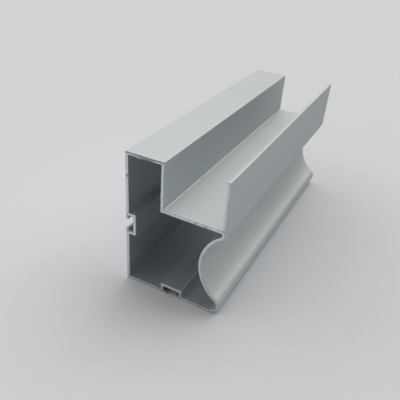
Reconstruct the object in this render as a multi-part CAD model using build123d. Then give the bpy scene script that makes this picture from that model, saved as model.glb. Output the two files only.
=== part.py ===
from build123d import *
import os
from math import sqrt

# A sawn length of hollow aluminium extrusion for the edge of a door.
# Millimetres. The section lies in the XZ plane and runs along Y.
# The origin is under the middle of the length, on the surface it stands on.
# The back face is on the -X side, the finger pull on the +X side.

# The whole length
length = 130.0
height = 60.0
width = 43.4
wall = 1.2
edge_radius = 0.3

# The hollow upright at the back, and the rebate that takes the panel's edge
upright_width = 16.85
rebate_depth = 19.85
rebate_radius = 0.5

# The finger pull: a lip under the fin, a round cove and a round nose that stands out past the fin
fin_setback = 0.9
lip_drop = 3.35
cove_depth = 9.2
nose_radius = 4.1
foot_round_share = 0.45

# The two slots for sealing strips, one in the back and one in the base
slot_inside_width = 7.3
slot_inside_depth = 2.0
slot_mouth = 4.2
slot_wall = 1.2
back_slot_height = 28.3
base_slot_offset = 21.6

# One overrun for every cut
overrun = 1.0

# The fin's face, and the heights of the rebate's floor and of the edge where the cove starts
fin_face = width - fin_setback
floor_height = height - rebate_depth
lip_height = floor_height - lip_drop

# The cove is one arc: it starts at the lip, goes in by its depth and ends tangent to the nose,
# which is itself tangent to the base. Its rise, from its middle up to the lip, follows from that.
nose_centre = Vector(width - nose_radius, nose_radius)
cove_span = lip_height - nose_radius
lip_depth = cove_depth - fin_setback
cove_square = cove_span**2 - cove_depth * (2 * nose_radius - fin_setback)
cove_root = sqrt((lip_depth * cove_span) ** 2 + fin_setback * lip_depth * cove_square)
cove_rise = lip_depth * cove_square / (lip_depth * cove_span + cove_root)
cove_radius = (cove_rise**2 + lip_depth**2) / (2 * lip_depth)
cove_centre = Vector(width - cove_depth + cove_radius, lip_height - cove_rise)
nose_to_cove = (cove_centre - nose_centre).normalized()


def lip_corner(inset):
    """Where the cove meets the fin's face, on an outline set in by some distance."""
    x = fin_face - inset
    rise = sqrt((cove_radius + inset) ** 2 - (cove_centre.X - x) ** 2)
    return Vector(x, cove_centre.Y + rise)


def body_face(inset):
    """The outline of the hollow body without its fin, set in by some distance."""
    nose_side = nose_centre + Vector(nose_radius - inset, 0)
    cove_start = nose_centre + nose_to_cove * (nose_radius - inset)
    cove_side = cove_centre - Vector(cove_radius + inset, 0)
    base = Line((inset, inset), (nose_centre.X, inset))
    nose = ThreePointArc(base @ 1, nose_side, cove_start)
    cove = ThreePointArc(cove_start, cove_side, lip_corner(inset))
    upper = Polyline(
        cove @ 1,
        (fin_face - inset, floor_height - inset),
        (upright_width - inset, floor_height - inset),
        (upright_width - inset, height - inset),
        (inset, height - inset),
        (inset, inset),
    )
    return make_face([base, nose, cove, upper])


def slot_places():
    """The two places of a strip slot, each with the wall along local X."""
    return [Pos(0, back_slot_height) * Rot(0, 0, -90), Pos(base_slot_offset, 0)]


def slot_pocket():
    """The box that a strip slot makes on the inside of its wall."""
    box_width = slot_inside_width + 2 * slot_wall
    box_depth = wall + slot_inside_depth + slot_wall
    return Rectangle(box_width, box_depth, align=(Align.CENTER, Align.MIN))


def slot_room():
    """The space in a strip slot: a narrow mouth through the wall and a wider room."""
    low = (Align.CENTER, Align.MIN)
    room = Pos(0, wall) * Rectangle(slot_inside_width, slot_inside_depth, align=low)
    mouth = Pos(0, -overrun) * Rectangle(slot_mouth, wall + 2 * overrun, align=low)
    return room + mouth


def outside_face():
    """Everything inside the outer outline, with the fin and the two open slots."""
    fin_height = height - lip_height
    fin = Pos(fin_face, lip_height) * Rectangle(wall, fin_height, align=(Align.MAX, Align.MIN))
    outside = body_face(0) + fin
    outside -= [place * slot_room() for place in slot_places()]
    rebate_corners = [Vector(x, floor_height) for x in (upright_width, fin_face - wall)]
    other_corners = [end for end in outside.vertices() if Vector(end) not in rebate_corners]
    outside = fillet(other_corners, edge_radius)
    panel_corners = [outside.vertices().sort_by_distance(end)[0] for end in rebate_corners]
    return fillet(panel_corners, rebate_radius)


def hollow_face():
    """The closed hollow, one wall inside the body, round the backs of the slots."""
    hollow = body_face(wall)
    heel = lip_corner(wall)
    roof = Vector(heel.X, floor_height - wall)
    foot_corners = [hollow.vertices().sort_by_distance(end)[0] for end in (heel, roof)]
    hollow = fillet(foot_corners, foot_round_share * (roof - heel).length)
    hollow -= [place * slot_pocket() for place in slot_places()]
    behind_cove = width - cove_depth
    square_corners = [corner for corner in hollow.vertices() if corner.X < behind_cove]
    return fillet(square_corners, edge_radius)


section = outside_face() - hollow_face()
profile = extrude(Plane.XZ * section, length / 2, both=True)
profile = Pos(-width / 2, 0, 0) * profile

os.makedirs("parts", exist_ok=True)
export_step(profile, "parts/extrusion_profile.step")
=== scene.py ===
import math

import bmesh
import bpy
import numpy as np
from mathutils import Matrix, Vector, noise


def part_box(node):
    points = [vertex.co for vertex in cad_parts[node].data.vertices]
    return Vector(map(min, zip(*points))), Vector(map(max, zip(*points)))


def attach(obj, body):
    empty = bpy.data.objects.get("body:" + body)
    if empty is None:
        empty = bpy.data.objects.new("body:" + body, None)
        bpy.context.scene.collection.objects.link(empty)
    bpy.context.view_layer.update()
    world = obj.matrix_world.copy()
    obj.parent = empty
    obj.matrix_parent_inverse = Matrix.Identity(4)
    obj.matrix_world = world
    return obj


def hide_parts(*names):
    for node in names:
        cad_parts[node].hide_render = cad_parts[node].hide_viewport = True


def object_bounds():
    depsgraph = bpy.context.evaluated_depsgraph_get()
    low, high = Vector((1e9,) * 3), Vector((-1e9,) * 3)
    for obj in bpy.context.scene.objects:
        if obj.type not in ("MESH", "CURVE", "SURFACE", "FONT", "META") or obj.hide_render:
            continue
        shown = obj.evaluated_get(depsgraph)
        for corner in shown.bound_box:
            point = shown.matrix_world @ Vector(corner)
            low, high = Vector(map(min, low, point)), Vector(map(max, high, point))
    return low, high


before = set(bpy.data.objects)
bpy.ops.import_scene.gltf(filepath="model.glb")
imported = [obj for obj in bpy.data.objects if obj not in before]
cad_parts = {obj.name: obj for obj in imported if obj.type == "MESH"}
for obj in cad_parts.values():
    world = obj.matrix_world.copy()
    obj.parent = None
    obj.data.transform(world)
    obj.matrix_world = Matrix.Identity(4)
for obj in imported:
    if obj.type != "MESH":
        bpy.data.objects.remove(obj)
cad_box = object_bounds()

# A sawn length of hollow aluminium extrusion on pale paper, in metres and in the CAD's own frame.
# The section lies in the XZ plane and runs along Y. The front cut is the one on the -Y side.
MM = 0.001

# The photograph's camera: place, directions and angle of view in degrees. The photograph seems to be
# cut out of a larger picture, so it is shifted off the camera's axis, by a share of its width
CAMERA_PLACE = Vector((69.23, -189.97, 134.66)) * MM
CAMERA_AZIMUTH = 27.68
CAMERA_ELEVATION = 31.65
CAMERA_ROLL = 3.28
VIEW_ANGLE = 46.50
PICTURE_SHIFT = 0.04
NEAR_CLIP = 1 * MM

# The studio's light: a wide soft lamp above and behind the part, over a dome that is pale on the left
# and fades to the right, and a pale horizon. Each edge is two cosines of the angle from a direction,
# the horizon's from straight up
LAMP_DIRECTION = Vector((0.264, 0.566, 0.781))
LAMP_EDGE = (0.824, 0.924)
LAMP_LEVEL = 1.76
DOME_DIRECTION = Vector((-0.988, 0.154, 0))
DOME_EDGE = (-0.563, 1.0)
DOME_LEVELS = (0.04, 1.42)
UP = Vector((0, 0, 1))
HORIZON_EDGE = (0.12, 0.26)
HORIZON_COLOR = (0.575, 0.58, 0.59)
SKY_TINT = (1.03, 0.985, 0.975)

# The floor: half its width, and a hair's gap under the part
FLOOR_HALF = 4.0
FLOOR_GAP = 0.05 * MM

# How the CAD section is read: points closer than this are one, and the front cut's faces have at
# least this cosine to -Y
WELD = 0.001 * MM
CUT_FACING = 0.99

# How finely the section's outline and the length are divided
OUTLINE_STEP = 0.5 * MM
LENGTH_STEPS = 12

# The four finishes, by their places in the piece's list of materials. The slots' finish is darkened as
# painted shade
SKIN, SAWN, HOLLOW, SLOT_SHADE = range(4)

# The names of two values that the mesh's points carry to the finishes. The first is the painted light and
# shade on the cuts. The second is painted light, which makes the hollow and the slots brighter where it is
# 1
PAINTED_CUT_LIGHT = "painted_cut_light"
PAINTED_LIGHT = "painted_light"

# Stretches of the outline with a finish or a painted light of their own, in boxes of two (x, z) corners,
# in
# millimetres: the strip slots' rooms, darkened as painted shade, the ledge over the back slot, lit as
# painted light, the fin's side towards the rebate, with a painted highlight on its cut, and the upright's
# top, with painted shade on its cut
BACK_SLOT = ((-21.2, 24.4), (-18.3, 32.2))
BASE_SLOT = ((-4.0, 0.5), (3.8, 3.4))
LEDGE = ((-20.4, 33.0), (-17.4, 33.3))
FIN_INSIDE = ((19.3, 40.6), (19.8, 59.7))
TOP_EDGE = ((-21.5, 59.8), (-5.0, 60.1))

# How sharply the outline turns from step to step on a small round corner, in radians, where the hollow and
# the slots get a painted highlight
CORNER_TURN = 0.12

# The sawn ends: the depths below the cut at which its edge is shaped, the broken edge, the burrs,
# the waves of the cut, and the ragged fringe that comes and goes in patches
END_DEPTHS = [depth * MM for depth in (0.0, 0.03, 0.07, 0.14, 0.28, 0.6, 1.2)]
EDGE_BREAK = 0.08 * MM
EDGE_BREAK_DEPTH = 0.14 * MM
BURR_DEPTH = 0.16 * MM
CUT_WAVE = 0.05 * MM
CUT_WAVE_LENGTH = 2.5 * MM
RAGGED_HEIGHT = 0.16 * MM
RAGGED_LENGTH = 0.9 * MM
RAGGED_PATCH_LENGTH = 9 * RAGGED_LENGTH

# What keeps the noises apart: between outlines, between the two cuts, and on one edge
OUTLINE_SEEDS = 10
REAR_SEED = 100
BREAK_SEED = 2
WAVE_SEED = 3
PATCH_SEED = 5

# Burrs, and nicks with a height below 0, as x, z, width and height in millimetres: those of the front
# cut, where the photograph shows them, and made-up ones for the rear cut, which it doesn't show
FRONT_MARKS = [
    (-15.5, 58.8, 0.55, 0.60),
    (-13.4, 58.8, 0.40, 0.22),
    (-14.6, 1.2, 0.70, 0.40),
    (-21.7, 51.4, 0.50, -0.16),
    (-21.7, 42.7, 0.60, -0.14),
    (-6.1, 1.2, 0.40, 0.20),
]
REAR_MARKS = [
    (-9.7, 58.8, 0.60, 0.45),
    (-20.5, 14.0, 0.50, 0.25),
    (11.8, 38.95, 0.70, 0.30),
    (20.8, 52.0, 0.50, -0.15),
]

# Painted light and shade on both cuts: a painted dark line along the outside, darker still at the
# upright's top.
# Along the hollow, a painted highlight from some height on, faded by painted shade towards the base, and
# darker at spots of x, z and width in millimetres
CUT_LIGHT_OUTSIDE = 0.12
CUT_LIGHT_AT_TOP = -0.6
CUT_LIGHT_AT_BASE = 0.2
CUT_SHADE_HEIGHT = 18 * MM
DARK_SPOTS = [(-12.5, 58.8, 4.0), (-20.5, 50.0, 1.0), (9.0, 38.95, 0.7), (13.0, 38.95, 0.8)]
# The range of that painted light over which the metal goes from dark to light
CUT_LIGHT_RANGE = (0, 0.4)

# The finishes' relief, and the middle of the saw's round marks
SATIN_RELIEF = 0.004 * MM
HOLLOW_RELIEF = 0.008 * MM
SAWN_RELIEF = 0.01 * MM
SAW_MIDDLE = Vector((-110, 0, -90)) * MM

# The range that most of a noise lies in, and the whole range of a share
NOISE_RANGE = (0.3, 0.7)
WHOLE = (0, 1)


def cut_outlines(node):
    """The closed outlines of a node's front cut, the outside first: (x, z) points, metal on the left."""
    mesh = bmesh.new()
    mesh.from_mesh(node.data)
    bmesh.ops.remove_doubles(mesh, verts=mesh.verts, dist=WELD)
    for face in mesh.faces:
        face.tag = face.normal.y < -CUT_FACING
    following = {}
    for face in mesh.faces:
        for corner in face.loops:
            if face.tag and not all(other.tag for other in corner.edge.link_faces):
                following[corner.vert] = corner.link_loop_next.vert
    outlines = []
    while following:
        vert = next(iter(following))
        outline = []
        while vert in following:
            outline.append((vert.co.x, vert.co.z))
            vert = following.pop(vert)
        outlines.append(np.array(outline))
    mesh.free()
    return sorted(outlines, key=lambda outline: np.ptp(outline[:, 0]), reverse=True)


def divided(outline):
    """The outline with its straight stretches divided into short steps."""
    points = []
    for start, end in zip(outline, np.roll(outline, -1, axis=0)):
        count = math.ceil(np.linalg.norm(end - start) / OUTLINE_STEP)
        points += [start + (end - start) * step / count for step in range(count)]
    return np.array(points)


def into_metal(outline):
    """Unit vectors at the outline's points that lead into the metal."""
    way = np.roll(outline, -1, axis=0) - np.roll(outline, 1, axis=0)
    way /= np.linalg.norm(way, axis=1, keepdims=True)
    return np.stack([-way[:, 1], way[:, 0]], axis=1)


def in_box(points, box):
    """Which (x, z) points lie in a box that is given in millimetres."""
    low, high = np.array(box) * MM
    return ((points > low) & (points < high)).all(axis=1)


def nearness(points, x, z, width):
    """How near points are to a place with some width, given in millimetres: 1 there, 0 far away."""
    away = np.hypot(points[:, 0] - x * MM, points[:, 1] - z * MM) / (width * MM)
    return np.exp(-(away**2))


def ripple(outline, length, seed):
    """Smooth noise from 0 to 1 along an outline, with waves about as long as given."""
    values = [noise.noise(Vector((x / length, z / length, seed))) for x, z in outline]
    return np.clip(0.5 + np.array(values), 0, 1)


def finishes(outline, is_hollow):
    """The finish of each step of an outline."""
    if is_hollow:
        return [HOLLOW] * len(outline)
    middles = (outline + np.roll(outline, -1, axis=0)) / 2
    in_slot = in_box(middles, BACK_SLOT) | in_box(middles, BASE_SLOT)
    # Steps in the slots get the slot finish, which is darkened as painted shade
    return [SLOT_SHADE if inside else SKIN for inside in in_slot]


def painted_light_places(outline):
    """Painted light: 1 at the points on round corners, as painted highlights, and in the back slot and on
    the ledge over it, 0 elsewhere.
    """
    way = np.roll(outline, -1, axis=0) - outline
    angle = np.arctan2(way[:, 1], way[:, 0])
    turn = (angle - np.roll(angle, 1) + math.pi) % (2 * math.pi) - math.pi
    flat = in_box(outline, BACK_SLOT) | in_box(outline, LEDGE)
    return np.where(flat | (np.abs(turn) > CORNER_TURN), 1.0, 0.0)


def painted_light_outside(outline):
    """Painted light and shade on a cut along the outside: a painted dark line, darker at the upright's
    top, and a painted highlight on the fin's inner side.
    """
    painted_light = np.where(in_box(outline, TOP_EDGE), CUT_LIGHT_AT_TOP, CUT_LIGHT_OUTSIDE)
    return np.where(in_box(outline, FIN_INSIDE), 1, painted_light)


def painted_light_by_hollow(outline):
    """Painted light on a cut along the hollow: a painted highlight, faded by painted shade near the base,
    and darker at the listed spots.
    """
    painted_light = np.clip(CUT_LIGHT_AT_BASE + outline[:, 1] / CUT_SHADE_HEIGHT, 0, 1)
    for x, z, width in DARK_SPOTS:
        painted_light *= 1 - nearness(outline, x, z, width)
    return painted_light


def raised_edge(outline, marks, seed):
    """How far a cut's edge stands out from the metal at each point: burrs above 0, nicks below."""
    patches = ripple(outline, RAGGED_PATCH_LENGTH, seed + PATCH_SEED)
    ragged = ripple(outline, RAGGED_LENGTH, seed) * patches
    raised = RAGGED_HEIGHT * ragged**2
    for x, z, width, height in marks:
        raised += height * MM * nearness(outline, x, z, width)
    return raised


def end_rings(outline, marks, seed):
    """The outline at each depth below a cut, as (x, depth, z): broken edge, burrs and waves."""
    inward = into_metal(outline)
    raised = raised_edge(outline, marks, seed)
    edge_break = EDGE_BREAK * (0.5 + ripple(outline, CUT_WAVE_LENGTH, seed + BREAK_SEED))
    wave = CUT_WAVE * ripple(outline, CUT_WAVE_LENGTH, seed + WAVE_SEED)
    rings = []
    for depth in END_DEPTHS:
        broken = max(0, 1 - depth / EDGE_BREAK_DEPTH) ** 2
        fade = math.exp(-((depth / BURR_DEPTH) ** 2))
        offset = edge_break * broken - raised * fade
        points = outline + inward * offset[:, None]
        rings.append(np.column_stack([points[:, 0], depth + wave * fade, points[:, 1]]))
    return rings


def rings_along(outline, seed, low, high):
    """The outline at places from the front cut to the rear one, as (x, y, z), kept in the CAD's box."""
    front = end_rings(outline, FRONT_MARKS, seed)
    rear = end_rings(outline, REAR_MARKS, seed + REAR_SEED)
    rings = [ring + (0, low.y, 0) for ring in front]
    first = low.y + END_DEPTHS[-1]
    last = high.y - END_DEPTHS[-1]
    for step in range(1, LENGTH_STEPS):
        place = first + (last - first) * step / LENGTH_STEPS
        rings.append(np.insert(outline, 1, place, axis=1))
    rings += [ring * (1, -1, 1) + (0, high.y, 0) for ring in reversed(rear)]
    return [np.clip(ring, low, high) for ring in rings]


def add_wall(mesh, rings, steps, carried):
    """A wall through rings of points, with a finish for each step round it: its two end rows of points."""
    rows = []
    for ring in rings:
        row = [mesh.verts.new(point) for point in ring]
        for layer, values in carried:
            for vert, value in zip(row, values):
                vert[layer] = value
        rows.append(row)
    for number, (near, far) in enumerate(zip(rows, rows[1:])):
        # The strips along the two cuts' edges are sawn metal too
        sawn = number in (0, len(rows) - 2)
        for k, finish in enumerate(steps):
            after = (k + 1) % len(steps)
            face = mesh.faces.new((near[k], far[k], far[after], near[after]))
            face.material_index = SAWN if sawn else finish
            face.smooth = True
    return rows[0], rows[-1]


def close_cut(mesh, loops, side):
    """The sawn faces between the outlines of a cut, all turned to one side."""
    edges = [mesh.edges.get((loop[k - 1], loop[k])) for loop in loops for k in range(len(loop))]
    filled = bmesh.ops.triangle_fill(mesh, edges=edges, use_beauty=True, normal=side)
    for face in filled["geom"]:
        if isinstance(face, bmesh.types.BMFace):
            face.material_index = SAWN
            if face.normal.dot(side) < 0:
                face.normal_flip()


def profile_mesh(node):
    """The extrusion's surface, run along the CAD section, with two sawn ends."""
    low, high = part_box(node.name)
    mesh = bmesh.new()
    painted_cut_light = mesh.verts.layers.float.new(PAINTED_CUT_LIGHT)
    painted_light = mesh.verts.layers.float.new(PAINTED_LIGHT)
    front_loops = []
    rear_loops = []
    for number, outline in enumerate(cut_outlines(node)):
        outline = divided(outline)
        is_hollow = number > 0
        # Painted light and shade on the cuts, and painted light in the hollow and the slots
        cut_light_and_shade = painted_light_by_hollow(outline) if is_hollow else painted_light_outside(outline)
        carried = [(painted_cut_light, cut_light_and_shade), (painted_light, painted_light_places(outline))]
        rings = rings_along(outline, OUTLINE_SEEDS * number, low, high)
        front, rear = add_wall(mesh, rings, finishes(outline, is_hollow), carried)
        front_loops.append(front)
        rear_loops.append(rear)
    close_cut(mesh, front_loops, Vector((0, -1, 0)))
    close_cut(mesh, rear_loops, Vector((0, 1, 0)))
    data = bpy.data.meshes.new("profile")
    mesh.to_mesh(data)
    mesh.free()
    return data


def node_of(tree, kind, **values):
    """A new shader node with some of its settings and inputs set."""
    node = tree.nodes.new(kind)
    for name, value in values.items():
        if hasattr(node, name):
            setattr(node, name, value)
        else:
            node.inputs[name.replace("_", " ")].default_value = value
    return node


def stretched_noise(tree, scale, along=1.0, **values):
    """A noise over the object, with its scale per metre, drawn out along Y where along is under 1."""
    place = node_of(tree, "ShaderNodeTexCoord")
    mapping = node_of(tree, "ShaderNodeMapping", Scale=(scale, scale * along, scale))
    pattern = node_of(tree, "ShaderNodeTexNoise", Scale=1.0, **values)
    tree.links.new(place.outputs["Object"], mapping.inputs["Vector"])
    tree.links.new(mapping.outputs["Vector"], pattern.inputs["Vector"])
    return pattern.outputs["Fac"]


def carried_value(tree, name):
    """One of the values that the mesh's points carry."""
    return node_of(tree, "ShaderNodeAttribute", attribute_name=name).outputs["Fac"]


def ranged(tree, value, source, to, smooth=False):
    """A value moved from one range to another, and kept in it."""
    node = node_of(tree, "ShaderNodeMapRange")
    node.interpolation_type = "SMOOTHSTEP" if smooth else "LINEAR"
    node.inputs["From Min"].default_value, node.inputs["From Max"].default_value = source
    node.inputs["To Min"].default_value, node.inputs["To Max"].default_value = to
    tree.links.new(value, node.inputs["Value"])
    return node.outputs["Result"]


def tinted(tree, value, dark, light):
    """A colour between two, by a value from 0 to 1."""
    node = node_of(tree, "ShaderNodeMix", data_type="RGBA")
    tree.links.new(value, node.inputs["Factor"])
    for socket in node.inputs:
        if socket.type == "RGBA":
            socket.default_value = (*(dark if socket.name == "A" else light), 1)
    color = [socket for socket in node.outputs if socket.type == "RGBA"]
    return color[0]


def summed(tree, *values):
    """Several values added up."""
    total = values[0]
    for value in values[1:]:
        node = node_of(tree, "ShaderNodeMath", operation="ADD")
        tree.links.new(total, node.inputs[0])
        tree.links.new(value, node.inputs[1])
        total = node.outputs[0]
    return total


def bumped(tree, height, distance, shader):
    """Fine relief on a shader: a height, and how far out a height of 1 is, in metres."""
    bump = node_of(tree, "ShaderNodeBump", Strength=1.0, Distance=distance)
    tree.links.new(height, bump.inputs["Height"])
    tree.links.new(bump.outputs["Normal"], shader.inputs["Normal"])


def new_material(name, **constants):
    """A material with constants on its Principled shader: (material, node tree, shader)."""
    material = bpy.data.materials.new(name)
    material.use_nodes = True
    shader = material.node_tree.nodes["Principled BSDF"]
    for socket, value in constants.items():
        shader.inputs[socket.replace("_", " ")].default_value = value
    return material, material.node_tree, shader


def anodised_skin():
    """Satin natural anodising: an etched matt grain, and faint die lines along the extrusion."""
    edge_tint = (0.2, 0.2, 0.2, 1)
    material, tree, shader = new_material("anodised_satin", Metallic=0.83, Specular_Tint=edge_tint)
    lines = stretched_noise(tree, scale=3500, along=0.004, Detail=3.0)
    broad = stretched_noise(tree, scale=450, along=0.01, Detail=2.0)
    grain = stretched_noise(tree, scale=6000, Detail=2.0)
    shade = stretched_noise(tree, scale=30, along=0.4, Detail=2.0)
    tone = summed(
        tree,
        ranged(tree, shade, NOISE_RANGE, to=(0, 0.4)),
        ranged(tree, broad, NOISE_RANGE, to=(0, 0.4)),
        ranged(tree, lines, NOISE_RANGE, to=(0, 0.2)),
    )
    color = tinted(tree, tone, dark=(0.601, 0.643, 0.650), light=(0.649, 0.695, 0.702))
    roughness = summed(
        tree,
        ranged(tree, lines, NOISE_RANGE, to=(0.587, 0.647)),
        ranged(tree, broad, NOISE_RANGE, to=(0, 0.04)),
    )
    height = summed(tree, lines, ranged(tree, grain, WHOLE, to=(0, 0.5)))
    tree.links.new(color, shader.inputs["Base Color"])
    tree.links.new(roughness, shader.inputs["Roughness"])
    bumped(tree, height, SATIN_RELIEF, shader)
    return material


def sawn_metal():
    """Bare metal with the curved marks that a circular saw leaves, and painted light and shade: lighter
    along the hollow as a painted highlight, darker along the outside and towards the base as painted
    shade.
    """
    material, tree, shader = new_material("sawn_aluminium", Metallic=1.0)
    place = node_of(tree, "ShaderNodeTexCoord")
    mapping = node_of(tree, "ShaderNodeMapping", Location=-SAW_MIDDLE)
    marks = node_of(
        tree, "ShaderNodeTexWave", wave_type="RINGS", rings_direction="Y",
        Scale=900.0, Distortion=3.0, Detail=2.0,
    )
    tree.links.new(place.outputs["Object"], mapping.inputs["Vector"])
    tree.links.new(mapping.outputs["Vector"], marks.inputs["Vector"])
    grain = stretched_noise(tree, scale=2500, Detail=3.0)
    # The painted light and shade on the cuts, roughened by the grain
    ragged = summed(
        tree,
        carried_value(tree, PAINTED_CUT_LIGHT),
        ranged(tree, grain, NOISE_RANGE, to=(-0.1, 0.1)),
    )
    tone = summed(
        tree,
        ranged(tree, marks.outputs["Fac"], WHOLE, to=(0, 0.15)),
        ranged(tree, grain, NOISE_RANGE, to=(0, 0.2)),
        ranged(tree, ragged, CUT_LIGHT_RANGE, to=(0, 0.65)),
    )
    color = tinted(tree, tone, dark=(0.22, 0.235, 0.24), light=(0.845, 0.89, 0.90))
    roughness = ranged(tree, grain, NOISE_RANGE, to=(0.55, 0.7))
    tree.links.new(color, shader.inputs["Base Color"])
    tree.links.new(roughness, shader.inputs["Roughness"])
    bumped(tree, summed(tree, marks.outputs["Fac"], grain), SAWN_RELIEF, shader)
    return material


def hollow_skin():
    """The inside of the hollow, as it left the die: a little bluer and smoother, with plain die lines, and
    painted light on its round corners and its ledge.
    """
    material, tree, shader = new_material("mill_finish", Metallic=1.0)
    lines = stretched_noise(tree, scale=2200, along=0.004, Detail=3.0)
    broad = stretched_noise(tree, scale=350, along=0.02, Detail=2.0)
    tone = summed(
        tree,
        ranged(tree, broad, NOISE_RANGE, to=(0, 0.15)),
        ranged(tree, lines, NOISE_RANGE, to=(0, 0.15)),
        # Painted highlights on round corners, and painted light on the ledge
        ranged(tree, carried_value(tree, PAINTED_LIGHT), WHOLE, to=(0, 0.7)),
    )
    color = tinted(tree, tone, dark=(0.61, 0.652, 0.682), light=(0.90, 0.95, 0.98))
    roughness = ranged(tree, lines, NOISE_RANGE, to=(0.50, 0.60))
    tree.links.new(color, shader.inputs["Base Color"])
    tree.links.new(roughness, shader.inputs["Roughness"])
    bumped(tree, lines, HOLLOW_RELIEF, shader)
    return material


def slot_painted_shade():
    """The inside of the strip slots, darkened as painted shade, and darker in the base than in the back,
    where painted light lifts it.
    """
    material, tree, shader = new_material("slot_with_painted_shade", Metallic=0.7, Roughness=0.7)
    lines = stretched_noise(tree, scale=2200, along=0.004, Detail=3.0)
    tone = summed(
        tree,
        ranged(tree, lines, NOISE_RANGE, to=(0, 0.3)),
        # Painted light in the back slot and on round corners
        ranged(tree, carried_value(tree, PAINTED_LIGHT), WHOLE, to=(0, 0.7)),
    )
    # Dark colours that stand in for the shade in the slots
    color = tinted(tree, tone, dark=(0.21, 0.23, 0.245), light=(0.46, 0.49, 0.51))
    tree.links.new(color, shader.inputs["Base Color"])
    return material


def add_profile():
    """The one piece: the extrusion, in place of its plain CAD node."""
    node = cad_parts["extrusion_profile"]
    piece = bpy.data.objects.new("profile", profile_mesh(node))
    bpy.context.scene.collection.objects.link(piece)
    # The slots' finish is painted shade
    materials = {SKIN: anodised_skin(), SAWN: sawn_metal(), HOLLOW: hollow_skin(), SLOT_SHADE: slot_painted_shade()}
    for finish in sorted(materials):
        piece.data.materials.append(materials[finish])
    normals = piece.modifiers.new("flat_faces_stay_flat", "WEIGHTED_NORMAL")
    normals.keep_sharp = True
    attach(piece, "root")
    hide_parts("extrusion_profile")


def pale_paper():
    """The floor's material: plain pale paper."""
    material, tree, shader = new_material("pale_paper", Roughness=0.9, Specular_IOR_Level=0.2)
    fibre = stretched_noise(tree, scale=300, Detail=4.0)
    color = tinted(tree, fibre, dark=(0.685, 0.722, 0.745), light=(0.704, 0.742, 0.765))
    tree.links.new(color, shader.inputs["Base Color"])
    return material


def add_floor():
    """A wide plain floor under the part."""
    sides = ((-1, -1), (1, -1), (1, 1), (-1, 1))
    data = bpy.data.meshes.new("floor")
    data.from_pydata([(x * FLOOR_HALF, y * FLOOR_HALF, 0) for x, y in sides], [], [(0, 1, 2, 3)])
    data.materials.append(pale_paper())
    floor = bpy.data.objects.new("floor", data)
    floor.location.z = cad_box[0][2] - FLOOR_GAP
    bpy.context.scene.collection.objects.link(floor)


def add_sky():
    """The studio: a pale horizon, and above it a dome that fades to the right and a wide soft lamp."""
    world = bpy.data.worlds.new("studio")
    world.use_nodes = True
    tree = world.node_tree
    horizon = tree.nodes["Background"]
    horizon.inputs["Color"].default_value = (*HORIZON_COLOR, 1)
    sky = node_of(tree, "ShaderNodeBackground", Color=(*SKY_TINT, 1))
    place = node_of(tree, "ShaderNodeTexCoord")
    cosines = []
    for direction in (LAMP_DIRECTION, DOME_DIRECTION, UP):
        toward = node_of(tree, "ShaderNodeVectorMath", operation="DOT_PRODUCT")
        toward.inputs[1].default_value = direction.normalized()
        tree.links.new(place.outputs["Generated"], toward.inputs[0])
        cosines.append(toward.outputs["Value"])
    to_lamp, to_dome, to_zenith = cosines
    lamp = ranged(tree, to_lamp, LAMP_EDGE, to=(0, LAMP_LEVEL), smooth=True)
    dome = ranged(tree, to_dome, DOME_EDGE, to=DOME_LEVELS)
    above = ranged(tree, to_zenith, HORIZON_EDGE, to=WHOLE, smooth=True)
    studio = node_of(tree, "ShaderNodeMixShader")
    tree.links.new(summed(tree, lamp, dome), sky.inputs["Strength"])
    tree.links.new(above, studio.inputs["Fac"])
    tree.links.new(horizon.outputs[0], studio.inputs[1])
    tree.links.new(sky.outputs[0], studio.inputs[2])
    tree.links.new(studio.outputs[0], tree.nodes["World Output"].inputs["Surface"])
    bpy.context.scene.world = world


def add_camera():
    """The photograph's camera."""
    data = bpy.data.cameras.new("camera")
    data.sensor_fit = "HORIZONTAL"
    data.angle = math.radians(VIEW_ANGLE)
    data.shift_x = PICTURE_SHIFT
    data.clip_start = NEAR_CLIP
    camera = bpy.data.objects.new("camera", data)
    turn = Matrix.Rotation(math.radians(CAMERA_AZIMUTH), 4, "Z")
    tilt = Matrix.Rotation(math.radians(90 - CAMERA_ELEVATION), 4, "X")
    roll = Matrix.Rotation(math.radians(CAMERA_ROLL), 4, "Z")
    camera.matrix_world = Matrix.Translation(CAMERA_PLACE) @ turn @ tilt @ roll
    bpy.context.scene.collection.objects.link(camera)
    bpy.context.scene.camera = camera


add_profile()
add_floor()
add_sky()
add_camera()
bpy.context.scene.view_settings.view_transform = "Standard"
